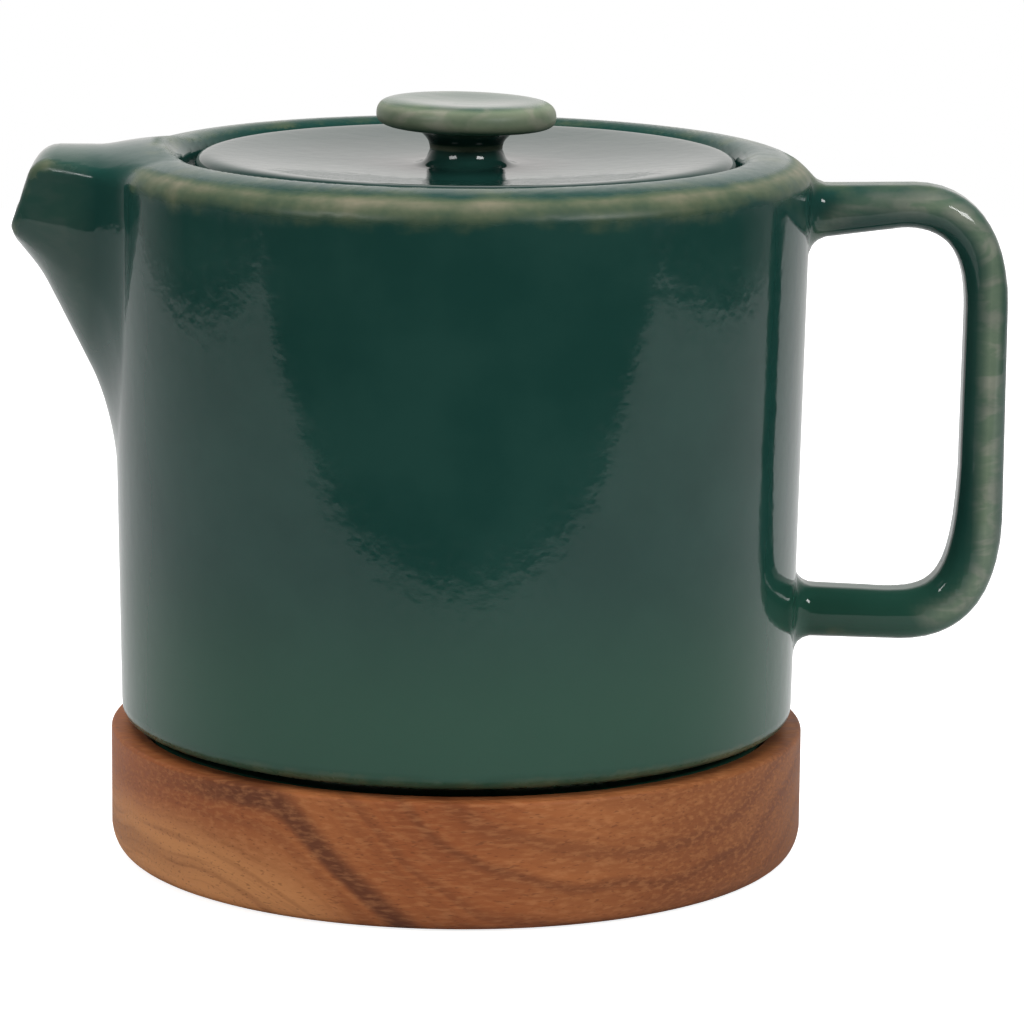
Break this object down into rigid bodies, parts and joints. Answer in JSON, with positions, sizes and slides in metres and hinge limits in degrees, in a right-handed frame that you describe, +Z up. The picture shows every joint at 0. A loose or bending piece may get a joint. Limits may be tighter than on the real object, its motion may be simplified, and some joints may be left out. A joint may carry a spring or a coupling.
{
  "type": "teapot with wooden base",
  "caption": "Cylindrical green-glazed teapot with a beak spout, C handle, dished lid with mushroom knob and lift-out steel infuser, standing on a round wooden base.",
  "frame": {"origin": "centre of the wooden base's underside, on the surface the teapot stands on", "axes": "+Z up, +X towards the handle, -X towards the spout"},
  "size_m": [0.187, 0.1312, 0.1432],
  "materials": {
    "green_glaze": "gloss glaze",
    "acacia_wood": "oiled satin",
    "steel": "brushed"
  },
  "bodies": {
    "base": {"wood_base": "acacia_wood"},
    "pot": {"pot_body": "green_glaze", "spout": "green_glaze", "handle": "green_glaze"},
    "infuser": {"infuser_collar": "steel", "infuser_sleeve": "steel", "infuser_floor": "steel"},
    "lid": {"lid": "green_glaze", "lid_knob": "green_glaze"}
  },
  "joints": [
    {"name": "pot_lift", "type": "slide", "parent": "base", "child": "pot", "axis": [0, 0, 1], "range_m": [0, 0.06]},
    {"name": "infuser_lift", "type": "slide", "parent": "pot", "child": "infuser", "axis": [0, 0, 1], "range_m": [0, 0.095]},
    {"name": "lid_lift", "type": "slide", "parent": "infuser", "child": "lid", "axis": [0, 0, 1], "range_m": [0, 0.05]}
  ]
}
